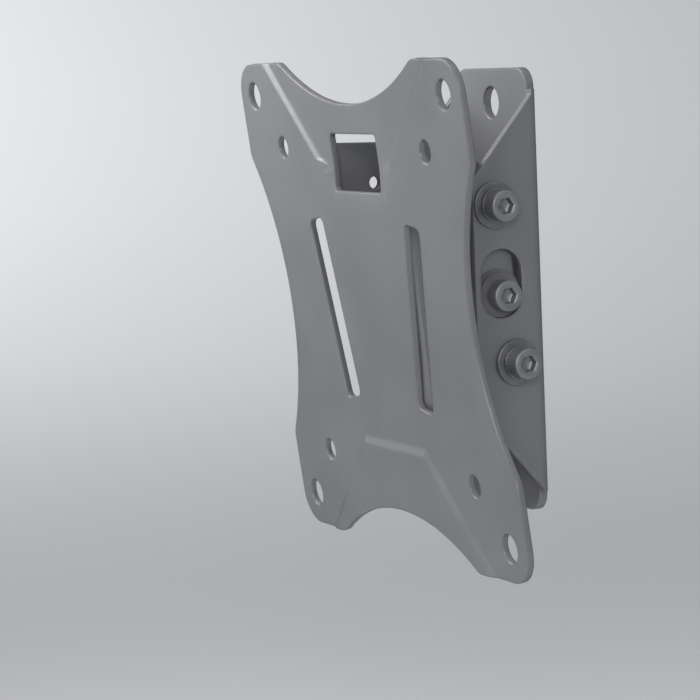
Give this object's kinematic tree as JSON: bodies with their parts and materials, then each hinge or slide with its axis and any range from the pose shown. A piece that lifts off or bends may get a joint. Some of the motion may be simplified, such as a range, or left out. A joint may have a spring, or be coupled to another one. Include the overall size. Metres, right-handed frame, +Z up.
{
  "type": "tv wall mount",
  "caption": "Tilting wall mount for a small screen: a pressed plate with two standard hole squares on a folded bracket that tilts between the ears of a folded wall plate.",
  "frame": {"origin": "middle of the wall plate's back face, on the wall, level with the tilt pivot", "axes": "+Y into the wall, -Y towards the viewer, +Z up, +X to the right as seen from the front"},
  "size_m": [0.1156, 0.0415, 0.1151],
  "materials": {
    "steel_paint": "mid grey powder coat, satin with a fine grain",
    "zinc_steel": "bright zinc plate",
    "bolt_steel": "dark zinc plate, slightly worn at the edges",
    "nylon": "plain moulded nylon"
  },
  "bodies": {
    "wall_side": {"wall_plate": "steel_paint"},
    "screen_side": {"vesa_plate": "steel_paint", "tilt_bracket": "steel_paint", "pivot_bush_left": "nylon", "pivot_bush_right": "nylon", "pivot_bolt_left": "bolt_steel", "pivot_bolt_right": "bolt_steel", "pivot_nut_left": "zinc_steel", "pivot_nut_right": "zinc_steel", "top_lock_bolt_left": "bolt_steel", "top_lock_bolt_right": "bolt_steel", "bottom_lock_bolt_left": "bolt_steel", "bottom_lock_bolt_right": "bolt_steel", "top_spring_washer_left": "zinc_steel", "top_spring_washer_right": "zinc_steel", "bottom_spring_washer_left": "zinc_steel", "bottom_spring_washer_right": "zinc_steel", "top_washer_left": "zinc_steel", "top_washer_right": "zinc_steel", "bottom_washer_left": "zinc_steel", "bottom_washer_right": "zinc_steel", "top_spacer_left": "nylon", "top_spacer_right": "nylon", "bottom_spacer_left": "nylon", "bottom_spacer_right": "nylon", "top_lock_nut_left": "zinc_steel", "top_lock_nut_right": "zinc_steel", "bottom_lock_nut_left": "zinc_steel", "bottom_lock_nut_right": "zinc_steel"}
  },
  "joints": [
    {"name": "tilt", "type": "hinge", "parent": "wall_side", "child": "screen_side", "pos_m": [0, -0.0114, 0], "axis": [1, 0, 0], "range_deg": [-7, 5]}
  ]
}
